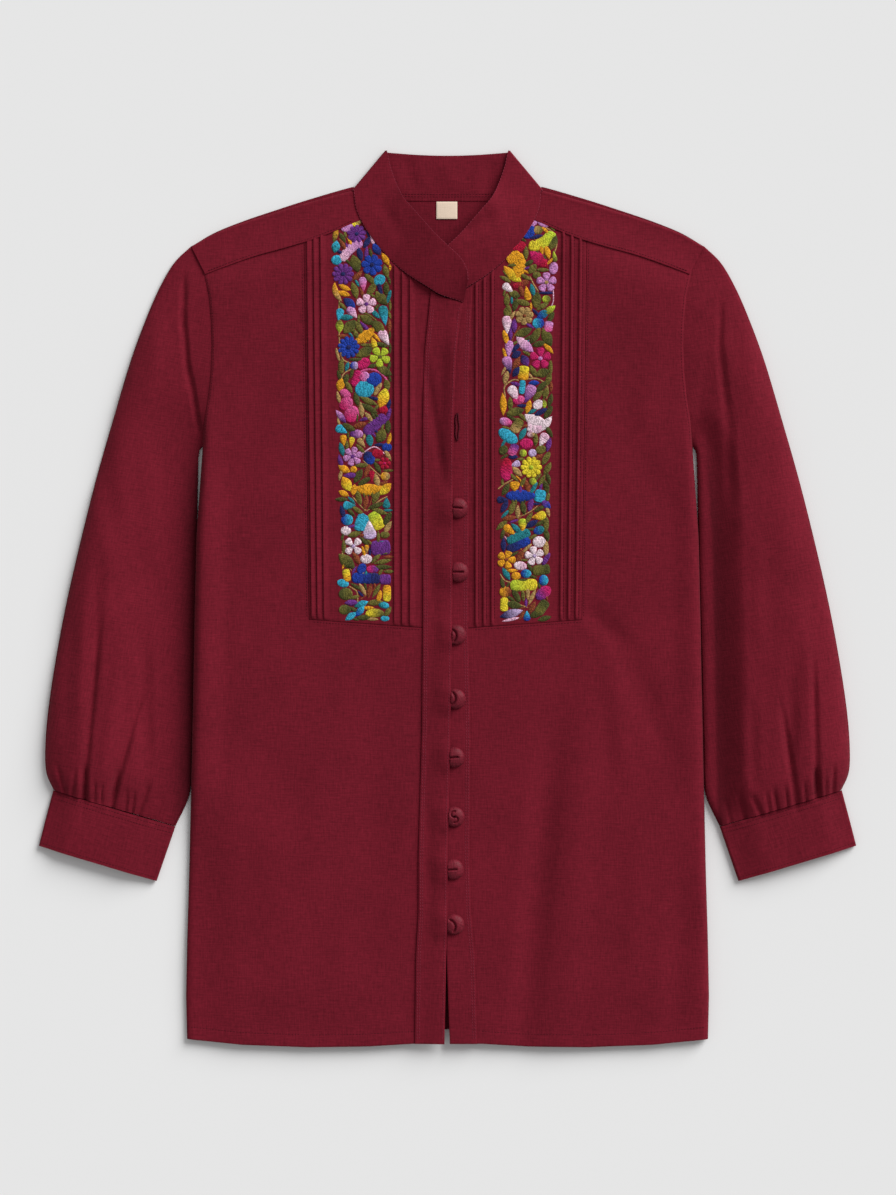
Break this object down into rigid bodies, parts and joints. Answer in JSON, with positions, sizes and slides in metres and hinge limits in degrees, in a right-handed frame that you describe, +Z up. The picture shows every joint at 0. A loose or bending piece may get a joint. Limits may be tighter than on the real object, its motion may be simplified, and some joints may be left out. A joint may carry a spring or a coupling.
{
  "type": "long-sleeved embroidered blouse laid flat",
  "caption": "Loose folk blouse with stand collar, tucked and embroidered front insets, button placket and gathered cuffed sleeves, laid flat on its back.",
  "frame": {"origin": "on the surface that the blouse lies on, under the middle of its outline", "axes": "+Y to the neck, +X to the right of someone looking down on the front, +Z up from the surface"},
  "size_m": [0.7208, 0.79, 0.017],
  "materials": {
    "burgundy_cloth": "matte plain weave with fine slubs",
    "button_cover": "matte self fabric over a dome",
    "label_tape": "smooth woven tape",
    "embroidery_thread": "soft satin-stitched yarn in many colours"
  },
  "bodies": {
    "root": {"back": "burgundy_cloth", "yoke": "burgundy_cloth", "collar": "burgundy_cloth", "placket_under": "burgundy_cloth", "placket_top": "burgundy_cloth", "front_left": "burgundy_cloth", "front_right": "burgundy_cloth", "inset_left": "burgundy_cloth", "inset_right": "burgundy_cloth", "sleeve_left": "burgundy_cloth", "sleeve_right": "burgundy_cloth", "sleeve_under_left": "burgundy_cloth", "sleeve_under_right": "burgundy_cloth", "cuff_left": "burgundy_cloth", "cuff_right": "burgundy_cloth", "button_1": "button_cover", "button_2": "button_cover", "button_3": "button_cover", "button_4": "button_cover", "button_5": "button_cover", "button_6": "button_cover", "button_7": "button_cover", "button_8": "button_cover", "neck_label": "label_tape"}
  },
  "joints": []
}
